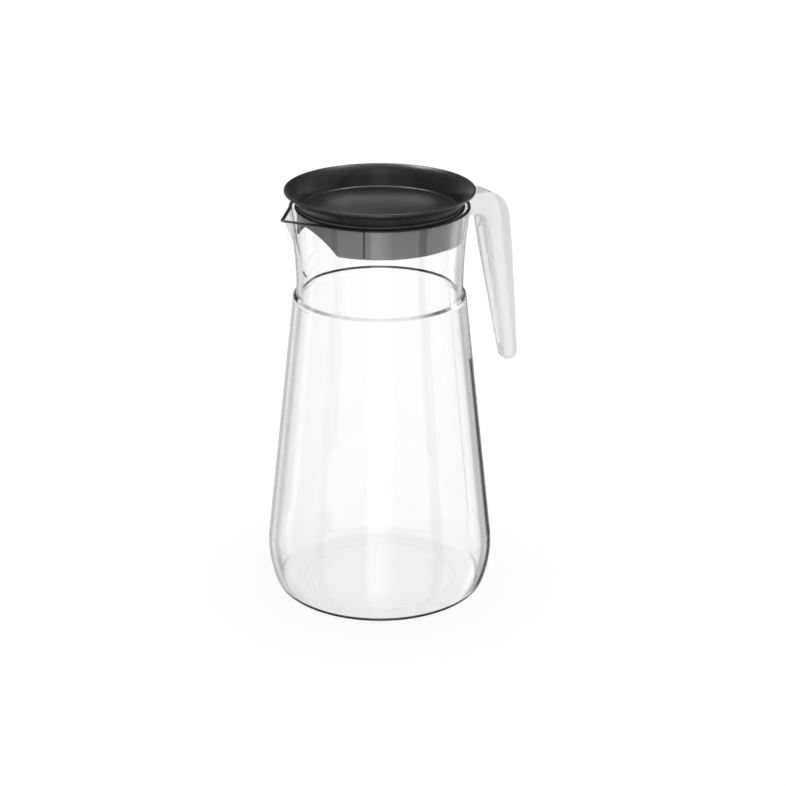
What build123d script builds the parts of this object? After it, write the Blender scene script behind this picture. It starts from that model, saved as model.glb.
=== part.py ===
from build123d import *
from math import acos, asin, atan, atan2, cos, degrees, hypot, radians, sin, sqrt, tan
import os

os.makedirs("parts", exist_ok=True)

# Clear plastic water jug with a black turning lid, in millimetres.
# The origin is the centre of the base on the table, +Z is up.
# The spout points along -X and the handle stands out along +X.

# Heights above the table
belly_height = 33.0
collar_height = 186.2
mouth_height = 238.5

# Outer radii of the jug
belly_radius = 67.6
shoulder_radius = 50.4
neck_radius = 48.65
mouth_radius = 52.5

# Walls of the jug
body_wall = 2.8
neck_wall = 2.0
floor_thickness = 2.2

# Foot of the body: side curve, foot corner, flat foot that stands below it, and inside corner
side_curve = 62.7
foot_corner = 4.0
foot_radius = 47.2
foot_rise = 1.2
inside_corner = 1.6

# Lap joint where the neck is welded into the body's collar, under a sloping collar edge
weld_gap = 0.04
collar_lap = 4.4
collar_slope = 1.5
funnel_height = 4.0

# Neck above the collar
flare_start = 4.0
rim_round = 0.85

# Spout drawn out of the neck
spout_reach = 63.6
spout_tip_round = 4.0
spout_depth = 36.5
spout_blend = 3.0
spout_sink = 0.8

# Handle
handle_thickness = 13.0
handle_length = 110.5
handle_outer_reach = 30.1
handle_outer_lean = 7.0
handle_outer_bend = 19.0
handle_inner_reach = 15.0
handle_inner_lean = 10.7
handle_inner_bend = 7.5
handle_tip_round = 4.2
handle_width = 15.8
handle_tip_width = 6.8
handle_taper_drop = 38.0
handle_edge_round = 1.0
root_width = 20.0
root_length = 13.0
groove_width = 8.0
groove_tip_width = 3.6
groove_depth = 3.0
groove_bulb = 5.0
groove_top_gap = 9.0
groove_tip_gap = 9.0

# Seal ring stretched round the skirt just below the rim
seal_height = 1.2
seal_width = 1.3
seal_drop = 0.3
seal_gap = 0.04
seal_round = 0.5

# Lid skirt that hangs in the neck
skirt_depth = 18.5
skirt_wall = 1.2
skirt_gap = 0.4
arch_height = 11.6
arch_radius = 31.5
arch_corner = 2.5
mark_angle = 50.0
mark_width = 1.2
mark_depth = 0.7

# Lid dish
lid_overhang = 2.5
lid_rim_width = 1.2
lid_rim_round = 0.5
lid_height = 8.7
lid_shoulder_rise = 1.1
lid_wall = 1.8
lid_wall_start = 76.0
lid_floor_inset = 1.36
lid_floor_drop = 1.7
lid_floor_thickness = 1.8
lid_floor_round = 1.2
snap_gap = 0.04
snap_bead = 0.35
snap_bead_height = 1.0
snap_drop = 1.9

# How far from its named height an edge may lie when it is picked for rounding
pick_margin = 0.01

# The tapered body wall leans by this angle, and its inset surfaces run parallel to it
lean_rate = (belly_radius - shoulder_radius) / (collar_height - belly_height)
lean = atan(lean_rate)


def wall_radius(height, inset):
    """Radius of the tapered body wall at a height, measured that far in from its outer face."""
    return belly_radius - (height - belly_height) * lean_rate - inset / cos(lean)


# Centre of the large arc that rounds the side in under the belly
curve_x = belly_radius - side_curve * cos(lean)
curve_z = belly_height - side_curve * sin(lean)


def foot_turn(inset, low, corner):
    """Angle below the horizontal where the side arc gives way to the corner arc."""
    reach = side_curve - inset - corner
    return asin((low + corner - curve_z) / reach)


def corner_center(inset, low, corner):
    """Centre of the corner arc that ends flat at the height named low."""
    turn = foot_turn(inset, low, corner)
    reach = side_curve - inset - corner
    return (curve_x + reach * cos(turn), low + corner)


def neck_profile(inset, low):
    """Upright face that closes on the axis: the neck's surface, that far in from its outer face."""
    with BuildSketch(Plane.XZ) as face:
        with BuildLine():
            flare_foot = (neck_radius - inset, collar_height + flare_start)
            flare_head = (mouth_radius - inset, mouth_height)
            Polyline((0, mouth_height), (0, low), (neck_radius - inset, low), flare_foot)
            TangentArc(flare_foot, flare_head, tangent=(0, 1))
            Line(flare_head, (0, mouth_height))
        make_face()
    return face.sketch


# Body: flat foot, rounded lower side and the tapered wall up to the sloping collar edge
corner_top = foot_rise + floor_thickness
outer_turn = foot_turn(0, foot_rise, foot_corner)
inner_turn = foot_turn(body_wall, corner_top, inside_corner)
outer_foot = corner_center(0, foot_rise, foot_corner)
inner_foot = corner_center(body_wall, corner_top, inside_corner)
inner_curve = side_curve - body_wall
seat_height = collar_height - collar_lap
slope_low = collar_height - collar_slope
neck_bore = neck_radius - neck_wall
with BuildPart() as jug_body:
    with BuildSketch(Plane.XZ):
        with BuildLine():
            Polyline((0, floor_thickness), (0, 0), (foot_radius, 0), (outer_foot[0], foot_rise))
            CenterArc(outer_foot, foot_corner, -90, 90 + degrees(outer_turn))
            CenterArc((curve_x, curve_z), side_curve, degrees(outer_turn), degrees(lean - outer_turn))
            inside_sweep = degrees(lean - inner_turn)
            inside = CenterArc((curve_x, curve_z), inner_curve, degrees(inner_turn), inside_sweep)
            Polyline(
                (wall_radius(belly_height, 0), belly_height),
                (wall_radius(slope_low, 0), slope_low),
                (neck_radius + weld_gap, collar_height),
                (neck_radius + weld_gap, seat_height),
                (wall_radius(seat_height, body_wall), seat_height),
                inside @ 1,
            )
            CenterArc(inner_foot, inside_corner, -90, 90 + degrees(inner_turn))
            Polyline((inner_foot[0], corner_top), (foot_radius, floor_thickness), (0, floor_thickness))
        make_face()
    revolve(axis=Axis.Z)
jug_body.part.label = "jug_body"
export_step(jug_body.part, "parts/jug_body.step")


def spout_outline(round_radius, tip_radius, tip_center):
    """Round about the axis drawn out to a rounded tip, with straight sides tangent to both."""
    spread = degrees(acos((round_radius - tip_radius) / tip_center))
    with BuildSketch() as outline:
        with BuildLine():
            back = CenterArc((0, 0), round_radius, spread - 180, 360 - 2 * spread)
            tip = CenterArc((-tip_center, 0), tip_radius, 180 - spread, 2 * spread)
            Line(back @ 1, tip @ 0)
            Line(tip @ 1, back @ 0)
        make_face()
    return outline.sketch


def spout_loft(inset):
    """Solid of the spout: a drawn-out round at the mouth that runs down to nothing on the neck."""
    tip_radius = spout_tip_round - inset
    low_outline = spout_outline(neck_radius - spout_sink - inset, tip_radius, neck_radius - spout_tip_round)
    top_outline = spout_outline(mouth_radius - spout_sink - inset, tip_radius, spout_reach - spout_tip_round)
    with BuildPart() as spout:
        with BuildSketch(Plane.XY.offset(mouth_height - spout_depth)):
            add(low_outline)
        with BuildSketch(Plane.XY.offset(mouth_height)):
            add(top_outline)
        loft(ruled=True)
    return spout.part


# Neck: flared ring with the spout, welded into the collar
with BuildPart() as neck_envelope:
    add(neck_profile(0, seat_height))
    revolve(axis=Axis.Z)
spout_outer = spout_loft(0)
spout_inner = spout_loft(neck_wall)
with BuildPart() as neck_hollow:
    add(neck_profile(neck_wall, seat_height))
    revolve(axis=Axis.Z)
    add(spout_inner)
    fillet(neck_hollow.edges().filter_by(GeomType.BSPLINE).sort_by(Axis.X)[-2:], spout_blend)
    with Locations((0, 0, seat_height)):
        Cone(
            wall_radius(seat_height, body_wall), neck_bore, funnel_height,
            align=(Align.CENTER, Align.CENTER, Align.MIN),
        )
with BuildPart() as neck:
    add(neck_envelope.part)
    add(spout_outer)
    fillet(neck.edges().filter_by(GeomType.BSPLINE).sort_by(Axis.X)[-2:], spout_blend)
    add(neck_hollow.part, mode=Mode.SUBTRACT)
    fillet(neck.faces().sort_by(Axis.Z)[-1].edges(), rim_round)
neck.part.label = "neck"
export_step(neck.part, "parts/neck.step")

# Handle: a tapered bar that hangs from the rim and is free at its lower end
root_low = mouth_height - handle_thickness
outer_rate = tan(radians(handle_outer_lean))
inner_rate = tan(radians(handle_inner_lean))
handle_tip_height = mouth_height - handle_length
taper_height = mouth_height - handle_taper_drop
handle_outer_x = mouth_radius + handle_outer_reach
handle_inner_x = mouth_radius + handle_inner_reach
handle_reach = handle_outer_x + handle_length * outer_rate
root_end = mouth_radius + root_length
with BuildPart() as handle_root:
    with BuildSketch(Plane.XY.offset(root_low)):
        with BuildLine():
            Line((neck_bore, 0), (neck_bore, root_width / 2))
            TangentArc((root_end, handle_width / 2), (neck_bore, root_width / 2), tangent=(-1, 0))
            Line((root_end, handle_width / 2), (root_end, 0))
            mirror(about=Plane.XZ)
        make_face()
    extrude(amount=handle_thickness)
    fillet(handle_root.edges().filter_by(GeomType.CIRCLE), handle_edge_round)
with BuildPart() as handle:
    with BuildSketch(Plane.XZ):
        with BuildLine():
            bar = FilletPolyline(
                (neck_bore, root_low),
                (handle_inner_x, root_low),
                (handle_inner_x + (root_low - handle_tip_height) * inner_rate, handle_tip_height),
                (handle_reach, handle_tip_height),
                (handle_outer_x, mouth_height),
                (neck_bore, mouth_height),
                radius=[handle_inner_bend, handle_tip_round, handle_tip_round, handle_outer_bend],
            )
            Line(bar @ 1, bar @ 0)
        make_face()
    extrude(amount=handle_width / 2, both=True)
    with BuildSketch(Plane.YZ):
        with BuildLine():
            Polyline(
                (handle_width / 2, mouth_height),
                (handle_width / 2, taper_height),
                (handle_tip_width / 2, handle_tip_height),
                (-handle_tip_width / 2, handle_tip_height),
                (-handle_width / 2, taper_height),
                (-handle_width / 2, mouth_height),
                close=True,
            )
        make_face()
    extrude(amount=handle_reach, mode=Mode.INTERSECT)
    fillet(handle.edges() - handle.faces().sort_by(Axis.X)[0].edges(), handle_edge_round)
    add(handle_root.part)
    add(neck_envelope.part, mode=Mode.SUBTRACT)
    groove_start = root_low - groove_top_gap
    groove_end = handle_tip_height + groove_tip_gap
    groove_face = Plane(
        origin=(handle_inner_x + (root_low - groove_start) * inner_rate, 0, groove_start),
        x_dir=(0, 1, 0),
        z_dir=(cos(radians(handle_inner_lean)), 0, sin(radians(handle_inner_lean))),
    )
    with BuildSketch(groove_face):
        with BuildLine():
            CenterArc((0, 0), groove_width / 2, 0, 360)
            CenterArc((0, groove_end - groove_start), groove_tip_width / 2, 0, 360)
        make_hull()
    extrude(amount=groove_depth, mode=Mode.SUBTRACT)
    with Locations(groove_face):
        Sphere(groove_bulb, mode=Mode.SUBTRACT)
handle.part.label = "handle"
export_step(handle.part, "parts/handle.step")


def neck_surface(height, inset):
    """Radius of the flared neck at a height, that far in from its outer face."""
    start = collar_height + flare_start
    spread = mouth_radius - neck_radius
    flare = (spread**2 + (mouth_height - start) ** 2) / (2 * spread) + inset
    return neck_radius - inset + flare - sqrt(flare**2 - (height - start) ** 2)


# Seal ring: a soft ring with rounded outer edges
skirt_low = mouth_height - skirt_depth
skirt_radius = neck_surface(skirt_low, neck_wall) - skirt_gap
seal_top = mouth_height - seal_drop
seal_bore = skirt_radius + seal_gap
with BuildPart() as seal_ring:
    with BuildSketch(Plane.XY.offset(seal_top - seal_height)):
        Circle(seal_bore + seal_width)
        Circle(seal_bore, mode=Mode.SUBTRACT)
    extrude(amount=seal_height)
    fillet(seal_ring.edges().filter_by(GeomType.CIRCLE).sort_by(SortBy.RADIUS)[-2:], seal_round)
seal_ring.part.label = "seal_ring"
export_step(seal_ring.part, "parts/seal_ring.step")

# Lid skirt: a thin ring pressed onto the dish, with the pouring arch and an upright groove on each side
skirt_bore = skirt_radius - skirt_wall
shoulder_height = mouth_height + lid_shoulder_rise
snap_height = shoulder_height - snap_drop
with BuildPart() as lid_skirt:
    with BuildSketch(Plane.XY.offset(skirt_low)):
        Circle(skirt_radius)
        Circle(skirt_bore, mode=Mode.SUBTRACT)
    extrude(amount=shoulder_height - skirt_low)
    with BuildSketch(Plane.YZ) as arch:
        with Locations((0, skirt_low + arch_height - arch_radius)):
            Circle(arch_radius)
        with Locations((0, skirt_low)):
            Rectangle(2 * skirt_radius, skirt_depth, align=(Align.CENTER, Align.MAX))
        fillet(arch.vertices().group_by(Axis.Y)[-1].sort_by(Axis.X)[1:3], arch_corner)
    extrude(amount=-skirt_radius, mode=Mode.SUBTRACT)
    with BuildSketch(Plane.XY.offset(skirt_low)):
        with PolarLocations(skirt_radius, 2, 180 - mark_angle, 2 * mark_angle, endpoint=True):
            Rectangle(2 * mark_depth, mark_width)
    extrude(amount=skirt_depth, mode=Mode.SUBTRACT)
    with BuildSketch(Plane.XZ):
        with Locations((skirt_bore, snap_height)):
            Rectangle(2 * snap_bead, snap_bead_height + snap_bead)
    revolve(axis=Axis.Z, mode=Mode.SUBTRACT)
lid_skirt.part.label = "lid_skirt"
export_step(lid_skirt.part, "parts/lid_skirt.step")

# Lid dish: floor, bell-shaped wall up to the rim, and the shoulder that caps the skirt
dish_floor = mouth_height - lid_floor_drop
dish_top = shoulder_height + lid_height
spigot_radius = skirt_bore - snap_gap
lid_floor_radius = spigot_radius - lid_floor_inset
lid_rim_radius = mouth_radius + lid_overhang
rim_inner = lid_rim_radius - lid_rim_width
rise = atan2(dish_top - dish_floor, rim_inner - lid_floor_radius)
chord = hypot(dish_top - dish_floor, rim_inner - lid_floor_radius)
wall_start = radians(lid_wall_start)
bell = chord / (2 * sin(wall_start - rise))
bell_x = lid_floor_radius + bell * sin(wall_start)
bell_z = dish_floor - bell * cos(wall_start)
bell_outer = bell - lid_wall
rim_turn = acos((lid_rim_radius - bell_x) / bell_outer)
shoulder_turn = acos((skirt_radius - bell_x) / bell_outer)
with BuildPart() as lid_dish:
    with BuildSketch(Plane.XZ):
        with BuildLine():
            bell_sweep = degrees(shoulder_turn - rim_turn)
            outside = CenterArc((bell_x, bell_z), bell_outer, degrees(rim_turn), bell_sweep)
            inside = TangentArc(
                (lid_floor_radius, dish_floor),
                (rim_inner, dish_top),
                tangent=(cos(wall_start), sin(wall_start)),
            )
            FilletPolyline(inside @ 1, (lid_rim_radius, dish_top), outside @ 0, radius=lid_rim_round)
            Polyline(
                outside @ 1,
                (skirt_radius, shoulder_height),
                (spigot_radius, shoulder_height),
                (spigot_radius, snap_height + snap_bead_height / 2),
                (spigot_radius + snap_bead, snap_height),
                (spigot_radius, snap_height - snap_bead_height / 2),
                (spigot_radius, dish_floor - lid_floor_thickness),
                (0, dish_floor - lid_floor_thickness),
                (0, dish_floor),
                inside @ 0,
            )
        make_face()
    revolve(axis=Axis.Z)
    floor_edge = lid_dish.edges().filter_by(GeomType.CIRCLE).filter_by_position(
        Axis.Z, dish_floor - pick_margin, dish_floor + pick_margin
    )
    fillet(floor_edge, lid_floor_round)
lid_dish.part.label = "lid_dish"
export_step(lid_dish.part, "parts/lid_dish.step")
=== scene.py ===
from math import cos, pi, radians, sin
import bpy
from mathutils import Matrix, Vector

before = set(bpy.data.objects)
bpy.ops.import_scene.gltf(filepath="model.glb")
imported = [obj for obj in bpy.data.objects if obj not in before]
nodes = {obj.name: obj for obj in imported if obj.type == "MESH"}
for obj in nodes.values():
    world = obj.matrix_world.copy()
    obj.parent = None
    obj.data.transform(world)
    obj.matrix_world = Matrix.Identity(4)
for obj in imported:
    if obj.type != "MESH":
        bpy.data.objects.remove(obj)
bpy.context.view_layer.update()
scene = bpy.context.scene

# Camera: degrees round the jug's axis, distance and height in metres, degrees down, lens and sensor in
# millimetres, and the sideways shift of the picture
CAMERA_TURN = -29.5
CAMERA_DISTANCE = 1.04775
CAMERA_HEIGHT = 0.54126
CAMERA_PITCH = 21.82
LENS = 86.56
SENSOR_WIDTH = 36.0
SHIFT_X = 0.0169

# The sockets of the Mix node that hold colours
COLOR_A = 6
COLOR_B = 7
COLOR_RESULT = 2


class Shader:
    """A node tree with short calls to add and join nodes."""

    def __init__(self, tree):
        self.tree = tree
        tree.nodes.clear()

    def add(self, kind, settings=None, **sockets):
        node = self.tree.nodes.new(kind)
        for key, value in (settings or {}).items():
            setattr(node, key, value)
        for key, value in sockets.items():
            self.put(node.inputs[key.replace("_", " ")], value)
        return node

    def put(self, socket, value):
        if isinstance(value, bpy.types.NodeSocket):
            self.tree.links.new(value, socket)
        else:
            socket.default_value = value

    def math(self, operation, *values):
        node = self.tree.nodes.new("ShaderNodeMath")
        node.operation = operation
        for socket, value in zip(node.inputs, values):
            self.put(socket, value)
        return node.outputs[0]

    def smooth_step(self, value, limits):
        """Zero below the limits, one above them and smooth between them."""
        node = self.add("ShaderNodeMapRange", {"interpolation_type": "SMOOTHSTEP"})
        self.put(node.inputs["Value"], value)
        self.put(node.inputs["From Min"], limits[0])
        self.put(node.inputs["From Max"], limits[1])
        return node.outputs["Result"]

    def mix_shader(self, factor, a, b):
        node = self.tree.nodes.new("ShaderNodeMixShader")
        self.put(node.inputs[0], factor)
        self.put(node.inputs[1], a)
        self.put(node.inputs[2], b)
        return node.outputs[0]

    def mix_color(self, factor, a, b, blend="MIX"):
        node = self.add("ShaderNodeMix", {"data_type": "RGBA", "blend_type": blend})
        self.put(node.inputs["Factor"], factor)
        self.put(node.inputs[COLOR_A], a)
        self.put(node.inputs[COLOR_B], b)
        return node.outputs[COLOR_RESULT]

    def finish_material(self, surface):
        out = self.add("ShaderNodeOutputMaterial")
        self.put(out.inputs["Surface"], surface)


def grey(value):
    return (value, value, value, 1.0)


def new_material(name):
    material = bpy.data.materials.new(name)
    material.use_nodes = True
    return material, Shader(material.node_tree)


# The weld between neck and body, in metres: radius and height of the two faces that are one plastic there
WELD_RADIUS = (0.0480, 0.0488)
WELD_HEIGHT = (0.1817, 0.1862)

# Painted shade: the rounded rim, from this height up, and the outer edge of the foot are painted near black
RIM_HEIGHT = (0.2373, 0.3)
RIM_PAINTED_SHADE = 0.8
FOOT_HEIGHT = (-0.001, 0.0046)
FOOT_PAINTED_SHADE = 0.85
PAINTED_SHADE_TONE = 0.004
PAINTED_SHADE_ROUGHNESS = 0.1
PAINTED_SHADE_SPECULAR = 0.2

# A thin clear wall: how steeply it is seen where it starts to bend what is behind it and where it fully does,
# how much it mirrors face on, the power by which that grows toward its edges, and how much it lets through
THIN_EDGE = (0.35, 0.55)
THIN_GLOSS = 0.07
THIN_GLOSS_POWER = 5.0
THIN_TINT = 0.995

# The share of light that a clear wall lets through to the floor and to the other pieces
SHADOW_TINT = 0.975

# In metres: the thick collar, which bends light all round
COLLAR_HEIGHT = (0.1843, 0.1875)

# Thin too: the inside of the base, the flat of the foot, and the spout where it stands out past the neck.
# BASE_UPWARD is how far up a face looks, where 1 is straight up. SPOUT_RADIUS is the neck's at the foot of
# the spout, and SPOUT_FLARE is how fast it grows from there.
BASE_HEIGHT = (-0.001, 0.03)
BASE_UPWARD = (0.15, 1.1)
FOOT_RADIUS = (-0.001, 0.0505)
SPOUT_HEIGHT = (0.19, 0.2373)
SPOUT_RADIUS = 0.0489
SPOUT_FLARE = 0.083


def between(shader, value, limits):
    """One where the value lies between the limits, else zero."""
    above = shader.math("GREATER_THAN", value, limits[0])
    below = shader.math("LESS_THAN", value, limits[1])
    return shader.math("MULTIPLY", above, below)


class Place:
    """Where a point lies on the jug: height, distance from the axis, and which way its face looks."""

    def __init__(self, shader):
        spot = shader.add("ShaderNodeTexCoord").outputs["Object"]
        parts = shader.add("ShaderNodeSeparateXYZ", Vector=spot)
        self.height = parts.outputs[2]
        across = shader.math("MULTIPLY", parts.outputs[0], parts.outputs[0])
        across = shader.math("MULTIPLY_ADD", parts.outputs[1], parts.outputs[1], across)
        self.radius = shader.math("SQRT", across)
        face = shader.add("ShaderNodeNewGeometry")
        self.upward = shader.add("ShaderNodeSeparateXYZ", Vector=face.outputs["Normal"]).outputs[2]
        self.entering = shader.math("SUBTRACT", 1.0, face.outputs["Backfacing"])


def thin_places(shader, place):
    """One on the inside of the base, the flat of the foot and the spout, else zero."""
    low = between(shader, place.height, BASE_HEIGHT)
    in_base = shader.math("MULTIPLY", low, between(shader, place.upward, BASE_UPWARD))
    in_foot = shader.math("MULTIPLY", low, between(shader, place.radius, FOOT_RADIUS))
    rise = shader.math("SUBTRACT", place.height, SPOUT_HEIGHT[0])
    neck_radius = shader.math("MULTIPLY_ADD", rise, SPOUT_FLARE, SPOUT_RADIUS)
    past_neck = shader.math("GREATER_THAN", place.radius, neck_radius)
    in_spout = shader.math("MULTIPLY", past_neck, between(shader, place.height, SPOUT_HEIGHT))
    return shader.math("MAXIMUM", shader.math("MAXIMUM", in_base, in_foot), in_spout)


def thin_wall(shader, path, solid, place):
    """A thin wall seen face on shows what is straight behind it, and bends it only toward its edges."""
    facing = shader.add("ShaderNodeLayerWeight", Blend=0.5).outputs["Facing"]
    edge = shader.smooth_step(facing, THIN_EDGE)
    bend = shader.math("MAXIMUM", edge, between(shader, place.height, COLLAR_HEIGHT))
    bend = shader.math("MULTIPLY", bend, shader.math("SUBTRACT", place.entering, thin_places(shader, place)))
    bend = shader.math("MAXIMUM", bend, 0.0)
    direct = shader.math("MULTIPLY", shader.math("SUBTRACT", 1.0, bend), path.outputs["Is Camera Ray"])
    grazing = shader.math("POWER", facing, THIN_GLOSS_POWER)
    gloss = shader.math("MULTIPLY_ADD", grazing, 1.0 - THIN_GLOSS, THIN_GLOSS)
    gloss = shader.math("MULTIPLY", gloss, place.entering)
    mirror = shader.add("ShaderNodeBsdfGlossy", Color=grey(1.0), Roughness=0.0)
    open_wall = shader.add("ShaderNodeBsdfTransparent", Color=grey(THIN_TINT))
    sheet = shader.mix_shader(gloss, open_wall.outputs[0], mirror.outputs[0])
    return shader.mix_shader(direct, solid, sheet)


def painted_shade_edges(shader, path, surface, place):
    """Painted shade: the rim and the outer edge of the foot, painted near black, the foot's only for camera
    rays.
    """
    rim_painted_shade = shader.math("MULTIPLY", between(shader, place.height, RIM_HEIGHT), RIM_PAINTED_SHADE)
    outward = shader.math("LESS_THAN", place.upward, BASE_UPWARD[0])
    foot_painted_shade = shader.math("MULTIPLY", between(shader, place.height, FOOT_HEIGHT), outward)
    foot_painted_shade = shader.math("MULTIPLY", foot_painted_shade, shader.math("GREATER_THAN", place.radius, FOOT_RADIUS[1]))
    seen = shader.math("MULTIPLY", place.entering, path.outputs["Is Camera Ray"])
    foot_painted_shade = shader.math("MULTIPLY", foot_painted_shade, shader.math("MULTIPLY", seen, FOOT_PAINTED_SHADE))
    # Painted shade: a near-black plastic mixed in on the rim and the foot's outer edge
    painted_dark = shader.add(
        "ShaderNodeBsdfPrincipled",
        Base_Color=grey(PAINTED_SHADE_TONE), Roughness=PAINTED_SHADE_ROUGHNESS, Specular_IOR_Level=PAINTED_SHADE_SPECULAR,
    )
    return shader.mix_shader(shader.math("MAXIMUM", rim_painted_shade, foot_painted_shade), surface, painted_dark.outputs[0])


def clear_plastic(name, tint, roughness, ior=1.55, milk=0.0, moulded=False):
    """Clear plastic that lets light through to the floor. The jug's own thin walls are the moulded ones, with
    painted shade.
    """
    material, shader = new_material(name)
    glass = shader.add(
        "ShaderNodeBsdfPrincipled",
        Base_Color=tint, Roughness=roughness, IOR=ior, Transmission_Weight=1.0 - milk,
    )
    path = shader.add("ShaderNodeLightPath")
    unseen = shader.math("MAXIMUM", path.outputs["Is Shadow Ray"], path.outputs["Is Diffuse Ray"])
    through = shader.add("ShaderNodeBsdfTransparent", Color=grey(SHADOW_TINT))
    surface = shader.mix_shader(unseen, glass.outputs[0], through.outputs[0])
    if moulded:
        place = Place(shader)
        surface = thin_wall(shader, path, surface, place)
        surface = painted_shade_edges(shader, path, surface, place)
        in_ring = between(shader, place.radius, WELD_RADIUS)
        in_weld = shader.math("MULTIPLY", in_ring, between(shader, place.height, WELD_HEIGHT))
        joined = shader.add("ShaderNodeBsdfTransparent", Color=grey(1.0))
        surface = shader.mix_shader(in_weld, surface, joined.outputs[0])
    shader.finish_material(surface)
    return material


# The black pieces: how fine their grain is, its depth in metres, and how broad and strong the slow change of
# their gloss is
GRAIN_SCALE = 900.0
GRAIN_DEPTH = 0.0002
GLOSS_SCALE = 45.0
GLOSS_CHANGE = 0.10

# Painted shade in grooves: where other walls stand closer than this, in metres, colour and gloss are darkened
GROOVE_SHADE_REACH = 0.002
GROOVE_SHADE_POWER = 3.0
GROOVE_SHADE_SAMPLES = 8
PLAIN_SPECULAR = 0.5


def black_plastic(name, tone, roughness, grain, groove_shaded=False):
    """Satin black moulding with a very fine grain, and painted shade that darkens its grooves where asked."""
    material, shader = new_material(name)
    spot = shader.add("ShaderNodeTexCoord").outputs["Object"]
    fine = shader.add("ShaderNodeTexNoise", Vector=spot, Scale=GRAIN_SCALE, Detail=3.0)
    broad = shader.add("ShaderNodeTexNoise", Vector=spot, Scale=GLOSS_SCALE, Detail=2.0)
    sheen = shader.math("MULTIPLY_ADD", broad.outputs["Fac"], GLOSS_CHANGE, roughness - GLOSS_CHANGE / 2)
    bump = shader.add("ShaderNodeBump", Strength=grain, Distance=GRAIN_DEPTH, Height=fine.outputs["Fac"])
    body = shader.add(
        "ShaderNodeBsdfPrincipled", Base_Color=grey(tone), Roughness=sheen, Normal=bump.outputs[0]
    )
    if groove_shaded:
        settings = {"samples": GROOVE_SHADE_SAMPLES, "only_local": True}
        # Painted shade: occlusion darkens the colour and the gloss where other walls stand close
        groove_occlusion = shader.add("ShaderNodeAmbientOcclusion", settings, Distance=GROOVE_SHADE_REACH)
        unshaded_share = shader.math("POWER", groove_occlusion.outputs["AO"], GROOVE_SHADE_POWER)
        shader.put(body.inputs["Base Color"], shader.mix_color(unshaded_share, grey(0.0), grey(tone)))
        shaded_specular = shader.math("MULTIPLY", unshaded_share, PLAIN_SPECULAR)
        shader.put(body.inputs["Specular IOR Level"], shaded_specular)
    shader.finish_material(body.outputs[0])
    return material


# What each piece is made of, but the skirt's lighter grey is painted light
clear = clear_plastic("clear_plastic", tint=(0.992, 0.994, 0.994, 1.0), roughness=0.0, moulded=True)
clear_thick = clear_plastic("clear_plastic_thick", tint=grey(0.84), roughness=0.03, ior=1.4, milk=0.45)
pieces = {
    "jug_body": clear,
    "neck": clear,
    "handle": clear_thick,
    "lid_dish": black_plastic("lid_plastic", tone=0.016, roughness=0.23, grain=0.06),
    # Painted light: the skirt is a lighter copy of the lid's black plastic, for how bright it shows behind
    # the neck
    "lid_skirt": black_plastic("skirt_plastic_painted_lighter", tone=0.125, roughness=0.3, grain=0.1, groove_shaded=True),
    "seal_ring": black_plastic("seal_rubber", tone=0.012, roughness=0.5, grain=0.1),
}
for name, material in pieces.items():
    for slot in nodes[name].material_slots:
        slot.material = material


# The floor, in metres: a wide plane, and the patch of it that the foot stands on, as it is seen through the
# clear base. The patch fades out between two radii.
FLOOR_SIZE = 14.0
FLOOR_HEIGHT = -0.0002
FLOOR_TONE = 0.97
PATCH_RADIUS = 0.0472
PATCH_FADE = (0.041, PATCH_RADIUS)
PATCH_SIDES = 128
PATCH_HEIGHT = -0.0001
PATCH_TONE = 0.99


def floor_material(name, tone, fade=None):
    """Plain pale floor, which fades out between the two radii where they are given."""
    material, shader = new_material(name)
    surface = shader.add("ShaderNodeBsdfDiffuse", Color=grey(tone)).outputs[0]
    if fade:
        spot = shader.add("ShaderNodeTexCoord").outputs["Object"]
        reach = shader.add("ShaderNodeVectorMath", {"operation": "LENGTH"})
        shader.put(reach.inputs[0], spot)
        gone = shader.smooth_step(reach.outputs["Value"], fade)
        clear_film = shader.add("ShaderNodeBsdfTransparent", Color=grey(1.0))
        surface = shader.mix_shader(gone, surface, clear_film.outputs[0])
    shader.finish_material(surface)
    return material


bpy.ops.mesh.primitive_plane_add(size=FLOOR_SIZE, location=(0, 0, FLOOR_HEIGHT))
floor = bpy.context.object
floor.name = "floor"
floor.data.materials.append(floor_material("floor", FLOOR_TONE))
floor.visible_glossy = False
floor.visible_transmission = False

bpy.ops.mesh.primitive_circle_add(
    vertices=PATCH_SIDES, radius=PATCH_RADIUS, fill_type="NGON", location=(0, 0, PATCH_HEIGHT)
)
patch = bpy.context.object
patch.name = "floor_patch"
patch.data.materials.append(floor_material("floor_patch", PATCH_TONE, fade=PATCH_FADE))
patch.visible_glossy = False
patch.visible_diffuse = False
patch.visible_shadow = False


# Light round the jug, as the clear walls bend and mirror it: (degrees from the camera's side, brightness).
# Plus is to the right in the picture, and 180 is the backdrop behind the jug.
SIDES_SEEN = (
    (-180, 1.05), (-169, 1.05), (-164, 0.6), (-154, 0.6), (-151, 0.95), (-143, 0.95), (-134, 0.6),
    (-126, 0.6), (-120, 0.45), (-69, 0.45), (-67, 0.05), (-60, 0.05), (-58, 0.95), (-13, 0.95),
    (-12, 1.9), (-1, 1.9), (19, 0.95), (54, 0.95), (56, 0.05), (66, 0.05), (68, 0.7), (110, 0.7),
    (112, 1.3), (126, 1.3), (129, 0.7), (145, 0.7), (149, 0.3), (153, 0.05), (163, 0.05), (168, 0.6),
    (172, 1.05), (180, 1.05),
)
SIDES_MIRRORED = (
    (-180, 0.6), (-146, 0.6), (-134, 0.5), (-126, 0.4), (-90, 0.35), (-69, 0.45), (-67, 0.1), (-60, 0.1),
    (-58, 0.8), (-13, 0.8), (-12, 1.9), (-1, 1.9), (19, 0.8), (54, 0.8), (56, 0.1), (66, 0.1),
    (68, 1.0), (110, 1.0), (112, 1.3), (126, 1.3), (129, 0.7), (145, 0.7), (149, 0.3), (153, 0.1),
    (180, 0.15),
)
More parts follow.
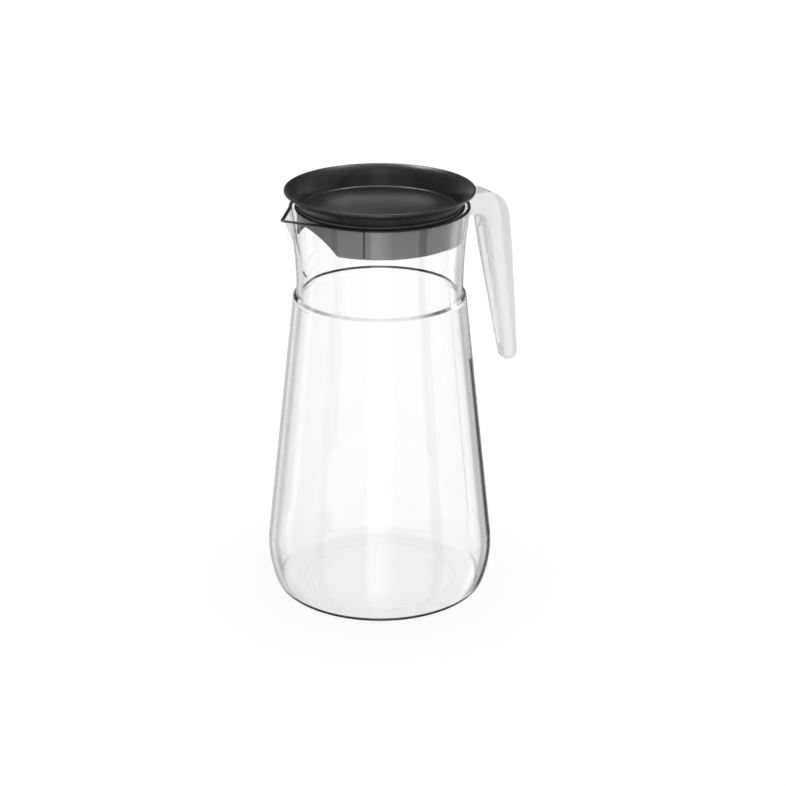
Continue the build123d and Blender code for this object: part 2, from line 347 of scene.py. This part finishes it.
# Brightness by height, in degrees above the horizon: what gloss mirrors has a dimmer room above it
MIRRORED = (
    (-90, 0.1), (-62, 0.15), (-45, 0.5), (-30, 0.95), (2, 1.0), (8, 0.5), (22, 0.34), (50, 0.3),
    (64, 0.6), (90, 0.6),
)
SEEN_THROUGH = ((-90, 0.4), (-60, 0.4), (-44, 0.75), (-31, 0.85), (-26.8, 0.9), (-25.3, 1.0), (90, 1.0))

# Brightness of the plain backdrop, and of the even light on all that is neither clear nor glossy
BACKDROP = 1.0
EVEN_LIGHT = 1.08


def ramp(shader, factor, stops, reach):
    """Colour ramp through (degrees, brightness) stops that run from minus to plus the reach."""
    node = shader.add("ShaderNodeValToRGB", Fac=factor)
    points = node.color_ramp.elements
    while len(points) < len(stops):
        points.new(0.5)
    for point, (degrees, value) in zip(points, stops):
        point.position = (degrees + reach) / (2 * reach)
        point.color = grey(value)
    return node.outputs["Color"]


def studio_world():
    """A plain bright backdrop, and lights and dark sides round the jug for what is clear or glossy."""
    world = bpy.data.worlds.new("studio")
    scene.world = world
    world.use_nodes = True
    shader = Shader(world.node_tree)
    path = shader.add("ShaderNodeLightPath")
    toward = shader.add("ShaderNodeTexCoord").outputs["Generated"]
    split = shader.add("ShaderNodeSeparateXYZ", Vector=toward)
    # Turn round +Z, counted from the camera's side, as 0 to 1 with the camera's side in the middle
    around = shader.math("ARCTAN2", split.outputs[0], shader.math("MULTIPLY", split.outputs[1], -1.0))
    around = shader.math("SUBTRACT", around, radians(CAMERA_TURN))
    around = shader.math("FRACT", shader.math("MULTIPLY_ADD", around, 0.5 / pi, 1.5))
    sides = shader.mix_color(
        path.outputs["Is Transmission Ray"],
        ramp(shader, around, SIDES_MIRRORED, 180.0),
        ramp(shader, around, SIDES_SEEN, 180.0),
    )
    # Height as 0 to 1, from straight down to straight up
    rise = shader.math("MULTIPLY_ADD", shader.math("ARCSINE", split.outputs[2]), 1.0 / pi, 0.5)
    height = shader.mix_color(
        path.outputs["Is Transmission Ray"],
        ramp(shader, rise, MIRRORED, 90.0),
        ramp(shader, rise, SEEN_THROUGH, 90.0),
    )
    studio = shader.mix_color(1.0, sides, height, blend="MULTIPLY")
    sharp = shader.math("MAXIMUM", path.outputs["Is Glossy Ray"], path.outputs["Is Transmission Ray"])
    color = shader.mix_color(sharp, grey(EVEN_LIGHT), studio)
    color = shader.mix_color(path.outputs["Is Camera Ray"], color, grey(BACKDROP))
    back = shader.add("ShaderNodeBackground", Color=color, Strength=1.0)
    out = shader.add("ShaderNodeOutputWorld")
    shader.put(out.inputs["Surface"], back.outputs[0])


studio_world()

# The middle of the jug, which the light points at
LIGHT_TARGET = (0.0, 0.0, 0.12)


def softbox(name, azimuth, elevation, distance, width, height, power):
    """Area light that stands that way round the jug and points at it."""
    light = bpy.data.lights.new(name, "AREA")
    light.shape = "RECTANGLE"
    light.size = width
    light.size_y = height
    light.energy = power
    lamp = bpy.data.objects.new(name, light)
    scene.collection.objects.link(lamp)
    turn = radians(azimuth)
    rise = radians(elevation)
    away = Vector((sin(turn) * cos(rise), -cos(turn) * cos(rise), sin(rise)))
    lamp.location = Vector(LIGHT_TARGET) + away * distance
    lamp.rotation_euler = (-away).to_track_quat("-Z", "Y").to_euler()
    lamp.visible_camera = False
    lamp.visible_diffuse = False
    lamp.visible_transmission = False


softbox("top_light", azimuth=155.0, elevation=65.0, distance=1.3, width=0.8, height=0.4, power=13.0)

turn = radians(CAMERA_TURN)
camera_data = bpy.data.cameras.new("camera")
camera = bpy.data.objects.new("camera", camera_data)
scene.collection.objects.link(camera)
camera.location = (sin(turn) * CAMERA_DISTANCE, -cos(turn) * CAMERA_DISTANCE, CAMERA_HEIGHT)
camera.rotation_euler = (radians(90.0 - CAMERA_PITCH), 0.0, turn)
camera_data.sensor_width = SENSOR_WIDTH
camera_data.lens = LENS
camera_data.shift_x = SHIFT_X
scene.camera = camera
scene.view_settings.view_transform = "Standard"
